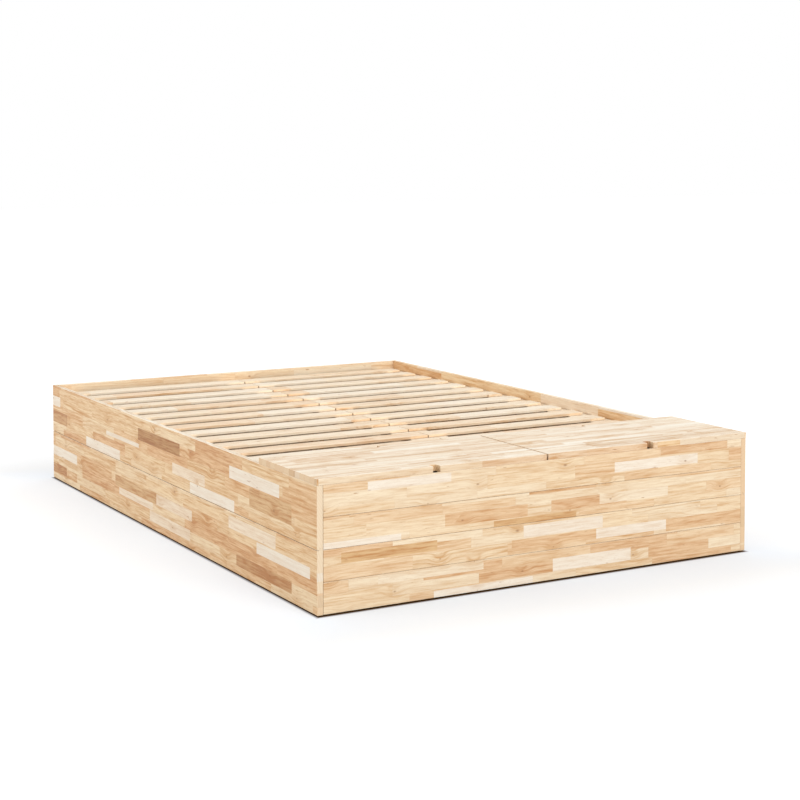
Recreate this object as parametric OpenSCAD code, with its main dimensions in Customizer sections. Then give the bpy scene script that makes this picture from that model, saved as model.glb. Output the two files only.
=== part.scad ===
// Solid wood bed base with a lidded chest at its foot end.
// Origin: on the floor, under the middle of the bed. +X is the right side seen from the foot, +Y points
// to the head, +Z is up. All sizes are in millimetres.

/* [Bed] */
// Clear width between the side boards, which is the mattress width
mattress_w = 1600; // [1400:10:1800]
// Clear length from the chest to the head boards, which is the mattress length
mattress_l = 2000; // [1900:10:2200]
// Height of the boards' top edge above the floor
frame_h = 390; // [350:5:450]
// Gap between the boards and the floor
floor_gap = 4; // [3:0.5:10]

/* [Boards] */
// Thickness of the side, foot and head boards
board_t = 20; // [18:0.5:26]
// Thickness of the tongues between stacked boards
tongue_t = 6; // [4:0.5:8]
// Height of the tongues
tongue_h = 6; // [4:0.5:9]
// Play between a tongue and the walls and floor of its groove
tongue_play = 0.3; // [0.1:0.05:0.5]
// Bevel at the joint between the two boards of a side
side_bevel = 1.2; // [0.5:0.1:2.5]
// Bevel at the joints between the four foot boards
foot_bevel = 0.7; // [0.3:0.1:2]
// Open shadow line at the outer face of the joint between the two boards of a side
side_seam = 1.4; // [0.2:0.1:2.5]
// Open shadow line at the outer face of the joints between the foot boards
foot_seam = 0.8; // [0.2:0.1:2]
// Open shadow line at the corners, between the side boards and the ends of foot and head boards
corner_seam = 0.6; // [0.2:0.1:2]
// Radius of the soft outer edges
edge_r = 1.5; // [0.5:0.1:3]
// Radius inside the foot boards' top edge, where fingers reach in
grip_edge_r = 3; // [1:0.5:6]

/* [Chest] */
// Depth of the chest from the foot boards' face to the lids' rear edge
chest_l = 400; // [320:5:500]
// Thickness of the chest's rear wall and partition
wall_t = 20; // [18:0.5:26]
// How far the partition stays below the lids, so that the gap between them opens on the dark chest
partition_drop = 30; // [2:1:60]
// Thickness of the chest floors
chest_floor_t = 12; // [8:0.5:18]
// Play around the chest floors
chest_floor_play = 1; // [0.5:0.5:3]
// Width and height of the battens under the chest floors
chest_batten = 20; // [16:1:30]
// Gap between the ends of those battens
chest_batten_gap = 0.5; // [0.2:0.1:3]

/* [Lids] */
// Thickness of the lids
lid_t = 20; // [16:0.5:26]
// Gap between the two lids
lid_gap = 6.5; // [1:0.5:8]
// Width of the finger notches
notch_w = 26; // [20:1:40]
// Depth of the finger notches
notch_l = 28; // [26:1:45]
// Radius of the finger notches' inner corners
notch_r = 8; // [3:0.5:9.5]
// Depth of the finger scoops in the walls' top edges, below the notches
scoop_h = 14; // [10:1:25]
// Thickness that a finger scoop leaves at the wall's far face
scoop_skin = 4; // [3:0.5:8]
// Width of the battens glued under the lids
lid_batten_w = 40; // [25:1:60]
// Thickness of the battens under the lids
lid_batten_t = 20; // [12:1:26]
// Play between the lids' battens and the chest's walls
lid_play = 3; // [1:0.5:6]

/* [Slats] */
// Slats in each row
slat_count = 14; // [10:1:14]
// Width of a slat
slat_w = 74; // [50:1:85]
// Thickness of a slat
slat_t = 10; // [9:0.5:20]
// Radius of a slat's edges
slat_r = 1.5; // [1:0.25:4.4]
// Step down from the side boards' top edge to the slats' top
slat_drop = 29; // [15:1:50]
// Gap between a side board and the slats' outer ends
slat_end_gap = 25; // [10:1:35]
// Gap between the two rows of slats
slat_row_gap = 5; // [3:0.5:15]
// Distance from the chest's rear wall to the first slat
slat_first_gap = 55; // [30:1:80]
// Distance from the last slat to the head boards
slat_last_gap = 29; // [20:1:80]
// Diameter of the pegs under the slats
peg_d = 8; // [6:0.5:10]
// Depth of a peg in its slat
peg_in_slat = 6; // [4:0.5:7]
// Depth of a peg in what carries the slat
peg_in_ledge = 12; // [8:0.5:15]
// Play between a peg and its hole
peg_play = 0.05; // [0.02:0.01:0.1]

/* [Slat supports] */
// Width of the ledges along the sides
ledge_w = 90; // [75:1:110]
// Thickness of the ledges
ledge_t = 20; // [18:1:30]
// Width of the rails under the ledges
rail_w = 30; // [24:1:45]
// Height of the rails under the ledges
rail_h = 40; // [30:1:60]
// Width of the middle beam
beam_w = 45; // [36:1:60]
// Height of the middle beam
beam_h = 120; // [80:1:150]
// Width of the cleats on both sides of the middle beam
cleat_w = 52; // [40:1:70]
// Height of the cleats
cleat_h = 40; // [30:1:60]
// Legs under the middle beam
leg_count = 3; // [2:1:4]

/* [Posts and ties] */
// Width of the square corner posts
post_w = 40; // [34:1:50]
// Width of the slimmer posts in the chest's front corners
chest_post_w = 30; // [24:1:40]
// Gap between the chest posts and the battens of the closed lids
chest_post_gap = 10; // [5:1:30]
// Width of the tie battens behind the stacked boards
tie_w = 60; // [40:1:90]
// Thickness of the tie battens
tie_t = 20; // [18:1:28]
// Distance of the head boards' tie battens from the middle of the bed
head_tie_x = 400; // [300:5:550]

/* [Screws and glides] */
// Diameter of the wood screws
screw_d = 4; // [3:0.25:5]
// Diameter of the screws' countersunk heads
screw_head_d = 8; // [7:0.25:10]
// Depth of a screw in the board that it holds
screw_bite = 14; // [10:0.5:15]
// Play between a screw and its hole
screw_play = 0.05; // [0.02:0.01:0.1]
// Distance of a screw from the end of what it holds
screw_inset = 20; // [15:1:22]
// Diameter of the glides under posts and legs
glide_d = 24; // [18:1:30]
// Diameter of the smaller glides under the tie battens
tie_glide_d = 16; // [12:1:18]

/* [Hidden] */
$fn = 64;
eps = 0.01;

// Overall box
bed_w = mattress_w + 2 * board_t;
bed_l = chest_l + mattress_l + board_t;
side_in = mattress_w / 2;
side_out = bed_w / 2;
foot_out = -bed_l / 2;
foot_in = foot_out + board_t;
wall_rear = foot_out + chest_l;
wall_front = wall_rear - wall_t;
head_out = bed_l / 2;
head_in = head_out - board_t;

// Stacked boards
side_rows = 2;
foot_rows = 4;
stack_h = frame_h - floor_gap;
side_row_h = stack_h / side_rows;
foot_row_h = stack_h / foot_rows;
lip_t = (board_t - tongue_t) / 2 - tongue_play;
arris = 1;

// Heights of the slats and their supports
slat_z = frame_h - slat_drop - slat_t;
ledge_z = slat_z - ledge_t;
rail_z = ledge_z - rail_h;
beam_z = slat_z - beam_h;

// Slats
slat_l = side_in - slat_end_gap - slat_row_gap / 2;
slat_first_y = wall_rear + slat_first_gap;
slat_pitch = (mattress_l - slat_first_gap - slat_last_gap - slat_w) / (slat_count - 1);
cleat_out = beam_w / 2 + cleat_w;
peg_outer_x = side_in - (ledge_w + slat_end_gap) / 2;
peg_inner_x = beam_w / 2 + cleat_w / 2;

// Lids and chest
lid_w = side_out - lid_gap / 2;
notch_x = side_out / 2;
lid_batten_z = frame_h - lid_batten_t;
lid_batten_l = wall_front - foot_in - 2 * lid_play;
chest_post_h = lid_batten_z - chest_post_gap - floor_gap;
chest_floor_z = floor_gap + chest_batten;
room_in = wall_t / 2;
room_out = side_in;

// Uprights along each side, as [place along the bed, width, thickness, height]
upright_h = ledge_z - floor_gap;
tie_h = rail_z - floor_gap;
leg_step = mattress_l / (leg_count + 1);
leg_y = [for (i = [1 : leg_count]) wall_rear + i * leg_step];
chest_post_y = foot_in + chest_post_w / 2;
wall_post_y = wall_rear + post_w / 2;
head_post_y = head_in - post_w / 2;
chest_post = [chest_post_y, chest_post_w, chest_post_w, chest_post_h];
wall_post = [wall_post_y, post_w, post_w, upright_h];
head_post = [head_post_y, post_w, post_w, upright_h];
side_ties = [for (y = leg_y) [y, tie_w, tie_t, tie_h]];
side_posts = [chest_post, wall_post, head_post];

// Rails run between the wall post and the head post, with a screw between each two tie battens
rail_y = wall_rear + post_w;
rail_l = mattress_l - 2 * post_w;
rail_screw_y = [for (i = [0 : leg_count]) wall_rear + (i + 0.5) * leg_step];

// Directions in which a screw points, as rotations of +Z
LEFT = [0, -90, 0];
TO_HEAD = [-90, 0, 0];
TO_FOOT = [90, 0, 0];
RIGHT = [0, 90, 0];

// A screw is [point where its two pieces meet, direction, thickness of the piece under its head].
// Middle of what an upright of height h shares with row i of a stack of rows
function shared_low(i, row_h) = floor_gap + i * row_h;
function shared_high(i, row_h, h) = min(floor_gap + (i + 1) * row_h, floor_gap + h);
function shared_mid(i, row_h, h) = (shared_low(i, row_h) + shared_high(i, row_h, h)) / 2;

// Two screws hold each side board to a post, and one holds it to a tie batten
function post_screws(p) = [
    for (i = [0 : side_rows - 1])
        for (z = [shared_low(i, side_row_h) + screw_inset, shared_high(i, side_row_h, p[3]) - screw_inset])
            [[-side_in, p[0], z], LEFT, p[2]]
];
function tie_screws(p) = [
    for (i = [0 : side_rows - 1]) [[-side_in, p[0], shared_mid(i, side_row_h, p[3])], LEFT, p[2]]
];
post_side_screws = [for (p = side_posts) each post_screws(p)];
tie_side_screws = [for (p = side_ties) each tie_screws(p)];
rail_screws = [for (y = rail_screw_y) [[-side_in, y, rail_z + rail_h / 2], LEFT, rail_w]];

// Posts hold the foot boards, the chest's rear wall and the head boards
foot_screw_x = -side_in + chest_post_w / 2;
foot_screws = [
    for (i = [0 : foot_rows - 1])
        [[foot_screw_x, foot_in, shared_mid(i, foot_row_h, chest_post_h)], TO_FOOT, chest_post_w]
];
wall_post_screws = [
    for (k = [0.2, 0.8]) [[-side_in + post_w / 2, wall_rear, floor_gap + k * upright_h], TO_FOOT, post_w]
];
head_post_screws = [
    for (i = [0 : side_rows - 1])
        [[-side_in + post_w / 2, head_in, shared_mid(i, side_row_h, upright_h)], TO_HEAD, post_w]
];
head_tie_screws = [
    for (i = [0 : side_rows - 1])
        [[-head_tie_x, head_in, shared_mid(i, side_row_h, upright_h)], TO_HEAD, tie_t]
];

// Posts under the ends of the middle beam
end_post_h = beam_z - floor_gap;
end_post_wall_screws = [for (k = [0.2, 0.8]) [[0, wall_rear, floor_gap + k * end_post_h], TO_FOOT, post_w]];
end_post_head_screws = [
    for (z = [floor_gap + 0.2 * end_post_h, floor_gap + side_row_h - 2 * screw_inset])
        [[0, head_in, z], TO_HEAD, post_w]
];
cleat_screws = [for (y = rail_screw_y) [[-beam_w / 2, y, slat_z - 0.7 * cleat_h], RIGHT, cleat_w]];

// The rear wall holds the partition's end
partition_screws = [
    for (k = [0.15, 0.5, 0.85]) [[0, wall_front, floor_gap + k * stack_h], TO_FOOT, wall_t]
];

// Battens under the left chest floor
room_l = wall_front - foot_in;
batten_mid_z = floor_gap + chest_batten / 2;
floor_batten_x = [for (k = [0.2, 0.8]) -(room_in + k * (room_out - room_in))];
floor_batten_foot_screws = [for (x = floor_batten_x) [[x, foot_in, batten_mid_z], TO_FOOT, chest_batten]];
floor_batten_wall_screws = [for (x = floor_batten_x) [[x, wall_front, batten_mid_z], TO_HEAD, chest_batten]];

slat_numbers = [for (i = [1 : slat_count]) str(i < 10 ? "0" : "", i)];

SIDE_WOOD = "#d8b07a";
FOOT_WOOD = "#e5c594";
LID_WOOD = "#edd3a8";
SLAT_WOOD = "#e8cb9c";
INNER_WOOD = "#dcbf92";

// The same piece on both sides of the bed
module both_sides() {
    children();
    mirror([1, 0, 0]) children();
}

// What is cut from the corner of a section, at the origin and towards +X +Y, to round or bevel it
module round_cut(r) {
    difference() {
        translate([-eps, -eps]) square(r + eps);
        translate([r, r]) circle(r);
    }
}

module bevel_cut(b) {
    polygon([[-eps, -eps], [b, -eps], [b, 0], [0, b], [-eps, b]]);
}

// Cuts all four corners of a w by h rectangle
module at_corners(w, h) {
    for (x = [0, 1], y = [0, 1]) translate([x * w, y * h]) mirror([x, 0]) mirror([0, y]) children();
}

module rounded_rectangle(w, h, r) {
    difference() {
        square([w, h]);
        at_corners(w, h) round_cut(r);
    }
}

module bevelled_rectangle(w, h, b) {
    difference() {
        square([w, h]);
        at_corners(w, h) bevel_cut(b);
    }
}

// Section of row i in a stack of rows: x is the thickness from the outer face inwards, y the height.
// Boards meet at bevelled edges with a tongue in a groove; the stack's own edges are rounded.
// The outer lip of a groove stops short of the board below, which leaves a shadow line on the face.
module board_section(i, rows, row_h, bevel, seam, top_inner_r = edge_r) {
    lowest = i == 0;
    highest = i == rows - 1;
    difference() {
        union() {
            square([board_t, row_h]);
            if (!highest)
                translate([(board_t - tongue_t) / 2, row_h - eps]) square([tongue_t, tongue_h + eps]);
        }
        for (side = [0, 1]) translate([side * board_t, 0]) mirror([side, 0]) {
            if (lowest) round_cut(edge_r);
            else translate([0, side == 0 ? seam : 0]) bevel_cut(bevel);
            translate([0, row_h]) mirror([0, 1]) {
                if (highest) round_cut(side == 0 ? edge_r : top_inner_r);
                else bevel_cut(bevel);
            }
        }
        if (!lowest) {
            translate([-eps, -eps]) square([lip_t + 2 * eps, seam + eps]);
            translate([lip_t, -eps]) square([board_t - 2 * lip_t, tongue_h + tongue_play + eps]);
        }
    }
}

// Runs a section along Y, from y0 on, or along X, from x0 on: the section's height becomes Z
module run_y(l) {
    translate([0, l, 0]) rotate([90, 0, 0]) linear_extrude(l) children();
}

module run_x(l) {
    rotate([90, 0, 90]) linear_extrude(l) children();
}

// A straight planed batten with bevelled arrises, w along X, l along Y, h along Z, from its lowest corner
module batten_y(w, l, h) {
    run_y(l) bevelled_rectangle(w, h, arris);
}

module batten_x(l, w, h) {
    run_x(l) bevelled_rectangle(w, h, arris);
}

module upright(w, t, h) {
    linear_extrude(h) translate([-w / 2, -t / 2]) bevelled_rectangle(w, t, arris);
}

// A screw along +Z from under its head, with the meeting faces at z = 0, and the hole for it
module wood_screw(under_head) {
    r = screw_d / 2;
    head_r = screw_head_d / 2;
    translate([0, 0, -under_head]) cylinder(h = head_r - r, r1 = head_r, r2 = r);
    translate([0, 0, -under_head]) cylinder(h = under_head + screw_bite, r = r);
}

module screw_hole(under_head) {
    r = screw_d / 2 + screw_play;
    head_r = screw_head_d / 2 + screw_play;
    translate([0, 0, -under_head - eps]) cylinder(h = head_r - r + eps, r1 = head_r + eps, r2 = r);
    translate([0, 0, -under_head - eps]) cylinder(h = under_head + screw_bite + screw_play + eps, r = r);
}

module drilled(screws) {
    difference() {
        children();
        for (s = screws) translate(s[0]) rotate(s[1]) screw_hole(s[2]);
    }
}

module all_screws(screws) {
    for (s = screws) translate(s[0]) rotate(s[1]) wood_screw(s[2]);
}

// Drills what crosses the middle of the bed from both sides
module drilled_both(screws) {
    difference() {
        children();
        both_sides() for (s = screws) translate(s[0]) rotate(s[1]) screw_hole(s[2]);
    }
}

// A side board, cut to length with rounded end arrises
module side_board(i) {
    screws = concat(post_side_screws, tie_side_screws, rail_screws);
    row_z = floor_gap + i * side_row_h;
    color(SIDE_WOOD)
        drilled([for (s = screws) if (s[0][2] > row_z && s[0][2] < row_z + side_row_h) s])
            intersection() {
                translate([-side_out, foot_out, row_z])
                    run_y(bed_l) board_section(i, side_rows, side_row_h, side_bevel, side_seam);
                translate([-side_out, foot_out, 0])
                    linear_extrude(bed_l) rounded_rectangle(board_t, bed_l, edge_r);
            }
}

// Cuts back the outer part of a cross board's ends, seen with its outer face towards -Y
module with_corner_seams() {
    difference() {
        children();
        for (end = [0, 1]) translate([end * mattress_w, 0, 0]) mirror([end, 0, 0])
            translate([-eps, -eps, -eps]) cube([corner_seam + eps, lip_t + eps, stack_h]);
    }
}

// Below each notch a scoop is cut from the inside of the wall's top edge, here with the inside towards +Y
module finger_scoop() {
    translate([-notch_w / 2, scoop_skin, -scoop_h])
        run_y(board_t) rounded_rectangle(notch_w, 2 * scoop_h, notch_r);
}

module foot_board(i) {
    screws = concat(foot_screws, i == 0 ? floor_batten_foot_screws : []);
    row_z = floor_gap + i * foot_row_h;
    color(FOOT_WOOD)
        drilled_both([for (s = screws) if (s[0][2] > row_z && s[0][2] < row_z + foot_row_h) s])
            difference() {
                translate([-side_in, foot_out, row_z])
                    with_corner_seams() run_x(mattress_w)
                        board_section(i, foot_rows, foot_row_h, foot_bevel, foot_seam, grip_edge_r);
                both_sides() translate([-notch_x, foot_out, frame_h]) finger_scoop();
            }
}

module head_board(i) {
    screws = concat(head_post_screws, head_tie_screws, end_post_head_screws);
    row_z = floor_gap + i * side_row_h;
    color(SIDE_WOOD)
        drilled_both([for (s = screws) if (s[0][2] > row_z && s[0][2] < row_z + side_row_h) s])
            translate([side_in, head_out, row_z])
                rotate([0, 0, 180]) with_corner_seams() run_x(mattress_w)
                    board_section(i, side_rows, side_row_h, side_bevel, side_seam);
}

// Chest
module chest_rear_wall() {
    screws = concat(wall_post_screws, end_post_wall_screws, partition_screws, floor_batten_wall_screws);
    color(INNER_WOOD)
        drilled_both(screws)
            difference() {
                translate([-side_in, wall_front, floor_gap]) batten_x(mattress_w, wall_t, stack_h);
                both_sides() translate([-notch_x, wall_rear, frame_h]) mirror([0, 1, 0]) finger_scoop();
            }
}

module chest_partition() {
    color(INNER_WOOD)
        drilled(partition_screws)
            translate([-wall_t / 2, foot_in, floor_gap]) batten_y(wall_t, room_l, stack_h - partition_drop);
}

// The left floor is notched around the front post
module chest_floor() {
    w = room_out - room_in - 2 * chest_floor_play;
    l = room_l - 2 * chest_floor_play;
    notch = chest_post_w + chest_floor_play;
    color(INNER_WOOD)
        difference() {
            translate([-room_out + chest_floor_play, foot_in + chest_floor_play, chest_floor_z])
                batten_y(w, l, chest_floor_t);
            translate([-room_out - eps, foot_in - eps, 0]) cube([notch + eps, notch + eps, frame_h]);
        }
}

// Two long battens along the foot boards and the rear wall, and two short ones between them
module chest_floor_battens() {
    front_l = room_out - room_in - chest_post_w - chest_batten_gap;
    front_y = foot_in + chest_batten + chest_batten_gap;
    post_y = foot_in + chest_post_w + chest_batten_gap;
    rear_y = wall_front - chest_batten - chest_batten_gap;
    color(INNER_WOOD)
        both_sides() {
            drilled(floor_batten_foot_screws)
                translate([-room_out + chest_post_w + chest_batten_gap, foot_in, floor_gap])
                    batten_x(front_l, chest_batten, chest_batten);
            drilled(floor_batten_wall_screws)
                translate([-room_out, wall_front - chest_batten, floor_gap])
                    batten_x(room_out - room_in, chest_batten, chest_batten);
            translate([-room_in - chest_batten, front_y, floor_gap])
                batten_y(chest_batten, rear_y - front_y, chest_batten);
            translate([-room_out, post_y, floor_gap])
                batten_y(chest_batten, rear_y - post_y, chest_batten);
        }
}

// Lids, with a finger notch in the front and the rear edge. Here the edge is along X, the lid towards +Y.
module finger_notch() {
    translate([-notch_w / 2, -notch_l, -eps])
        linear_extrude(lid_t + 2 * eps) rounded_rectangle(notch_w, 2 * notch_l, notch_r);
}

module lid() {
    color(LID_WOOD)
        translate([-side_out, foot_out, frame_h])
            difference() {
                intersection() {
                    run_y(chest_l) rounded_rectangle(lid_w, lid_t, edge_r);
                    run_x(lid_w) rounded_rectangle(chest_l, lid_t, edge_r);
                }
                translate([side_out - notch_x, 0, 0]) finger_notch();
                translate([side_out - notch_x, chest_l, 0]) mirror([0, 1, 0]) finger_notch();
            }
}

module lid_battens() {
    color(INNER_WOOD)
        for (x = [-room_out + lid_play, -room_in - lid_play - lid_batten_w])
            translate([x, foot_in + lid_play, lid_batten_z])
                batten_y(lid_batten_w, lid_batten_l, lid_batten_t);
}

// Slats and what carries them.
// A slat is rounded along its edges and over its ends.
module slat(i) {
    color(SLAT_WOOD)
        translate([-side_in + slat_end_gap, slat_first_y + (i - 1) * slat_pitch, slat_z])
            difference() {
                intersection() {
                    run_x(slat_l) rounded_rectangle(slat_w, slat_t, slat_r);
                    run_y(slat_w) rounded_rectangle(slat_l, slat_t, slat_r);
                }
                for (x = [peg_outer_x, peg_inner_x])
                    translate([side_in - slat_end_gap - x, slat_w / 2, -eps])
                        cylinder(h = peg_in_slat + eps, d = peg_d + 2 * peg_play);
            }
}

// One peg under each end of each slat, and the holes for a row of them
module pegs_at(x) {
    for (i = [0 : slat_count - 1])
        translate([-x, slat_first_y + i * slat_pitch + slat_w / 2, slat_z - peg_in_ledge])
            children();
}

module peg() {
    cylinder(h = peg_in_ledge + peg_in_slat, d = peg_d);
}

module slat_pegs() {
    color(INNER_WOOD) both_sides() for (x = [peg_outer_x, peg_inner_x]) pegs_at(x) peg();
}

module with_peg_holes(x) {
    difference() {
        children();
        pegs_at(x) cylinder(h = peg_in_ledge + eps, d = peg_d + 2 * peg_play);
    }
}

module slat_ledge() {
    color(INNER_WOOD)
        with_peg_holes(peg_outer_x)
            translate([-side_in, wall_rear, ledge_z]) batten_y(ledge_w, mattress_l, ledge_t);
}

module ledge_rails() {
    color(INNER_WOOD)
        both_sides()
            drilled(rail_screws) translate([-side_in, rail_y, rail_z]) batten_y(rail_w, rail_l, rail_h);
}

module centre_beam() {
    color(INNER_WOOD)
        drilled_both(cleat_screws)
            translate([-beam_w / 2, wall_rear, beam_z]) batten_y(beam_w, mattress_l, beam_h);
}

module centre_cleat() {
    color(INNER_WOOD)
        with_peg_holes(peg_inner_x)
            drilled(cleat_screws)
                translate([-cleat_out, wall_rear, slat_z - cleat_h]) batten_y(cleat_w, mattress_l, cleat_h);
}

module centre_legs() {
    color(INNER_WOOD) for (y = leg_y) translate([0, y, floor_gap]) upright(beam_w, beam_w, end_post_h);
}

module beam_end_posts() {
    color(INNER_WOOD) {
        drilled(end_post_wall_screws)
            translate([0, wall_post_y, floor_gap]) upright(beam_w, post_w, end_post_h);
        drilled(end_post_head_screws)
            translate([0, head_post_y, floor_gap]) upright(beam_w, post_w, end_post_h);
    }
}

// Posts and tie battens
module side_upright(p) {
    translate([-side_in + p[2] / 2, p[0], floor_gap]) upright(p[2], p[1], p[3]);
}

module corner_posts() {
    color(INNER_WOOD)
        both_sides() {
            drilled(concat(post_screws(chest_post), foot_screws)) side_upright(chest_post);
            drilled(concat(post_screws(wall_post), wall_post_screws)) side_upright(wall_post);
            drilled(concat(post_screws(head_post), head_post_screws)) side_upright(head_post);
        }
}

module tie_battens() {
    color(INNER_WOOD)
        both_sides() {
            for (p = side_ties) drilled(tie_screws(p)) side_upright(p);
            drilled(head_tie_screws)
                translate([-head_tie_x, head_in - tie_t / 2, floor_gap]) upright(tie_w, tie_t, upright_h);
        }
}

module wood_screws() {
    side_pairs = concat(
        post_side_screws, tie_side_screws, rail_screws, foot_screws, wall_post_screws, head_post_screws,
        head_tie_screws, cleat_screws, floor_batten_foot_screws, floor_batten_wall_screws
    );
    color("silver") {
        both_sides() all_screws(side_pairs);
        all_screws(concat(end_post_wall_screws, end_post_head_screws, partition_screws));
    }
}

// Glides carry the bed under its posts, legs and tie battens
module glide(d) {
    rotate_extrude() difference() {
        square([d / 2, floor_gap]);
        translate([d / 2, 0]) mirror([1, 0]) bevel_cut(arris);
    }
}

module floor_glides() {
    color("dimgray") {
        both_sides() {
            for (p = side_posts) translate([-side_in + p[2] / 2, p[0], 0]) glide(glide_d);
            for (p = side_ties) translate([-side_in + p[2] / 2, p[0], 0]) glide(tie_glide_d);
            translate([-head_tie_x, head_in - tie_t / 2, 0]) glide(tie_glide_d);
        }
        for (y = concat(leg_y, [wall_post_y, head_post_y])) translate([0, y, 0]) glide(glide_d);
    }
}

side_board(0);  // side_board_left_lower
side_board(1);  // side_board_left_upper
mirror([1, 0, 0]) side_board(0);  // side_board_right_lower
mirror([1, 0, 0]) side_board(1);  // side_board_right_upper
for (i = [1 : foot_rows]) foot_board(i - 1);
head_board(0);  // head_board_lower
head_board(1);  // head_board_upper
chest_rear_wall();
chest_partition();
chest_floor();  // chest_floor_left
mirror([1, 0, 0]) chest_floor();  // chest_floor_right
chest_floor_battens();
lid();  // lid_left
mirror([1, 0, 0]) lid();  // lid_right
lid_battens();  // lid_battens_left
mirror([1, 0, 0]) lid_battens();  // lid_battens_right
slat_ledge();  // slat_ledge_left
mirror([1, 0, 0]) slat_ledge();  // slat_ledge_right
ledge_rails();
centre_beam();
centre_cleat();  // centre_cleat_left
mirror([1, 0, 0]) centre_cleat();  // centre_cleat_right
centre_legs();
beam_end_posts();
corner_posts();
tie_battens();
wood_screws();
slat_pegs();
floor_glides();
for (i = [1 : slat_count]) {
    slat(i);
    mirror([1, 0, 0]) slat(i);
}
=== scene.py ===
# %% [markdown]
# A solid wood bed base in Blender
#
# The bed is a low box of edge-glued boards with two rows of slats for the mattress and a chest with two
# loose lids at its foot. Its pieces come ready made, at their real size and place. What is left to make here
# is what the eye lives on: the wood, the light, the view, and the drives of the screws.

# %% Load the pieces
import math

import bpy
from mathutils import Matrix, Vector


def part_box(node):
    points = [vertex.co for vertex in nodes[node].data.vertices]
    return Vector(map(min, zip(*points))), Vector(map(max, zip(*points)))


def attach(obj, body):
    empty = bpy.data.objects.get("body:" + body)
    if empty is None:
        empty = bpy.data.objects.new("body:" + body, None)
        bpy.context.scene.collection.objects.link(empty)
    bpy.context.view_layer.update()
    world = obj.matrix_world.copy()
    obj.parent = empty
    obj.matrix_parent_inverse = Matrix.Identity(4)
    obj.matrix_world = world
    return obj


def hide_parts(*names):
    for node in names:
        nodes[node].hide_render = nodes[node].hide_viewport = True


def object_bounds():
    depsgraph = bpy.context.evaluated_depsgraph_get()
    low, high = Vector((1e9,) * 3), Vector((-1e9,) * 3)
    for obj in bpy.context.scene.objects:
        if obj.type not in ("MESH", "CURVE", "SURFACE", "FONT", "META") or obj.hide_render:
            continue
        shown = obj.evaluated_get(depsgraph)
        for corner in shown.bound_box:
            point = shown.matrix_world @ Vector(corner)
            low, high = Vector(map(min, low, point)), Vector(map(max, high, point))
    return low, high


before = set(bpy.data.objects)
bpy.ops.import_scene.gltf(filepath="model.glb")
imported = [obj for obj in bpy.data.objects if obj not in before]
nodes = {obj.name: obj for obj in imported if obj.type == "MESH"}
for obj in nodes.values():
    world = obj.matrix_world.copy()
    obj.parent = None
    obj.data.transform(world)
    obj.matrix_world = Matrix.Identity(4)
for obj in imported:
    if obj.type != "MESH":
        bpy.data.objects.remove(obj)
cad_low, cad_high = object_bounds()
bed_size = cad_high - cad_low
print("pieces:", len(nodes), "overall size in metres:", [round(v, 3) for v in bed_size])

# %% [markdown]
# The view
#
# The photograph was taken from a little above the lids, in front of the left foot corner, with the camera
# held almost level and the lens shifted down: that is why upright edges stay parallel in it. The camera's
# place comes from fitting the bed's corners, joints and slats to the picture.

# %% Set up the camera
PICTURE = 800
SENSOR = 36.0
FOCAL_PX = 1695.6
CAMERA_PLACE = (-3.057, -5.603, 1.388)
CAMERA_YAW = 0.5204
CAMERA_PITCH = 0.0524
HORIZON_SHIFT_PX = 166

scene = bpy.context.scene
camera_data = bpy.data.cameras.new("camera")
camera_data.sensor_width = SENSOR
camera_data.lens = FOCAL_PX * SENSOR / PICTURE
camera_data.shift_y = -HORIZON_SHIFT_PX / PICTURE
camera = bpy.data.objects.new("camera", camera_data)
camera.location = CAMERA_PLACE
camera.rotation_euler = (math.pi / 2 - CAMERA_PITCH, 0, -CAMERA_YAW)
scene.collection.objects.link(camera)
scene.camera = camera
print("lens in mm:", round(camera_data.lens, 1), "shift:", round(camera_data.shift_y, 4))

# %% [markdown]
# Colours and nodes
#
# Colours are picked as sRGB hex values, which is how a screen shows them, and shaders work in linear light,
# so one function turns one into the other. A material is a tree of small nodes. They could be wired by hand
# in the shader editor. Here one function adds a node, sets it up and wires its inputs, which are named, or
# counted from 0 down the node. Most steps are a sum, a MapRange that moves a value from one range into
# another, or a Mix of two colours, whose inputs 6 and 7 are the colours.


# %% Helpers for materials
def colour(hex_value):
    channels = [int(hex_value[i:i + 2], 16) / 255 for i in (1, 3, 5)]
    linear = [c / 12.92 if c <= 0.04045 else ((c + 0.055) / 1.055) ** 2.4 for c in channels]
    return (*linear, 1.0)


def new_material(name):
    material = bpy.data.materials.new(name)
    material.use_nodes = True
    material.node_tree.nodes.clear()
    return material, material.node_tree


def add(tree, kind, inputs=None, **settings):
    node = tree.nodes.new("ShaderNode" + kind)
    for name, value in settings.items():
        setattr(node, name, value)
    for socket, value in (inputs or {}).items():
        if isinstance(value, bpy.types.NodeSocket):
            tree.links.new(value, node.inputs[socket])
        else:
            node.inputs[socket].default_value = value
    return node


print("honey in linear light:", [round(c, 3) for c in colour("#f0cea8")])

# %% [markdown]
# Edge-glued rubberwood
#
# The boards are glued up from short blocks of rubberwood, about 40 mm wide and 350 mm long, that are joined
# end to end and then planed and oiled. Each block comes from another part of a tree, so its tone jumps at
# every joint: mostly honey, some near-white sapwood, a few tan ones from near the heart. Along a block run
# fine straight grain, slow tonal streaks, short pores, and here and there a pin knot.
#
# A picture of such a board would repeat, and would have to be unwrapped onto every piece. A pattern that
# fills space instead is cut by each piece as a saw would cut it, so faces, edges and rounded arrises match
# by themselves. It is built up in steps here, one function for each: the blocks, their tones, the knots, the
# grain, the end grain and the glue lines.

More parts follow.
